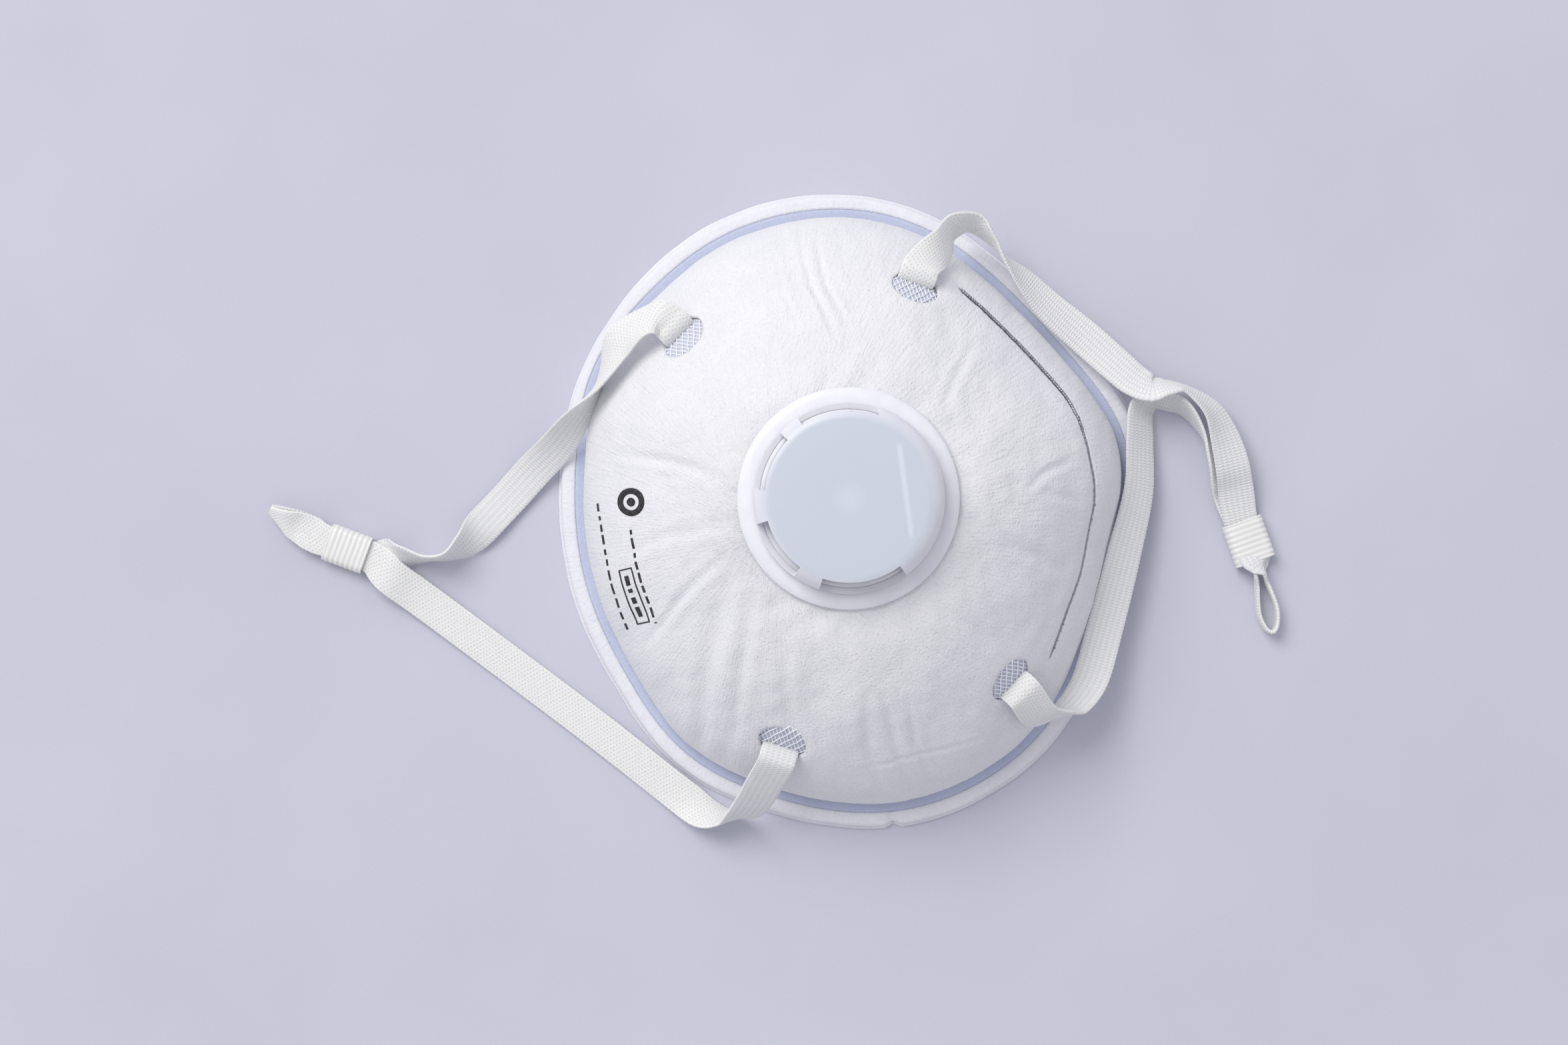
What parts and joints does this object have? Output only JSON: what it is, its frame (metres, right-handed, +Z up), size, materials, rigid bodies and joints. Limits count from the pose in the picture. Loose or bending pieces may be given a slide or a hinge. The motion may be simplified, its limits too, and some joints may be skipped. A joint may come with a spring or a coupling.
{
  "type": "disposable dust mask",
  "caption": "Moulded cup respirator with a round exhalation valve, a metal nose clip and an elastic band looped through its rim slots.",
  "frame": {"origin": "bottom centre of the bounding box, on the plane the rim rests on", "axes": "+Z up through the valve, out of the convex side; +Y towards the nose clip; +X towards the wearer's left"},
  "size_m": [0.1364, 0.2074, 0.0518],
  "materials": {
    "cover": "fuzzy nonwoven, matte",
    "net": "extruded plastic netting",
    "filter": "melt-blown nonwoven, matte",
    "lining": "soft nonwoven, matte",
    "rim": "fused nonwoven edge, slightly shiny",
    "clip": "rolled strip, knurled",
    "foam": "open-cell foam",
    "valve": "moulded, satin",
    "flap": "thin moulded sheet",
    "cap": "translucent moulding, satin top",
    "band": "knitted elastic, ribbed on one face",
    "ferrule": "crimped plastic tube"
  },
  "bodies": {
    "mask": {"outer_cover": "cover", "support_net": "net", "filter_layer": "filter", "inner_lining": "lining", "rim_band": "rim", "nose_clip": "clip", "nose_foam": "foam", "valve_base": "valve", "valve_inner_ring": "valve", "valve_cap": "cap", "band_run_left": "band", "band_run_right": "band"},
    "valve_flap": {"valve_flap": "flap"},
    "chin_loop": {"chin_loop_band": "band"},
    "crown_loop": {"crown_loop_band": "band"},
    "chin_ferrule": {"chin_ferrule": "ferrule"},
    "crown_ferrule": {"crown_ferrule": "ferrule"}
  },
  "joints": [
    {"name": "valve_flap_hinge", "type": "hinge", "parent": "mask", "child": "valve_flap", "pos_m": [-0.00162, 0.02826, 0.0451], "axis": [-0.9945, 0.1045, 0], "range_deg": [0, 11]},
    {"name": "chin_loop_swing", "type": "hinge", "parent": "mask", "child": "chin_loop", "pos_m": [0, -0.00966, 0.02509], "axis": [-1, 0, 0], "range_deg": [0, 75]},
    {"name": "crown_loop_swing", "type": "hinge", "parent": "mask", "child": "crown_loop", "pos_m": [0, 0.04325, 0.02659], "axis": [1, 0, 0], "range_deg": [0, 75]},
    {"name": "chin_ferrule_slide", "type": "slide", "parent": "chin_loop", "child": "chin_ferrule", "axis": [-0.5592, -0.829, 0], "range_m": [0, 0.0015]},
    {"name": "crown_ferrule_slide", "type": "slide", "parent": "crown_loop", "child": "crown_ferrule", "axis": [-0.9945, -0.1045, 0], "range_m": [0, 0.0015]}
  ]
}
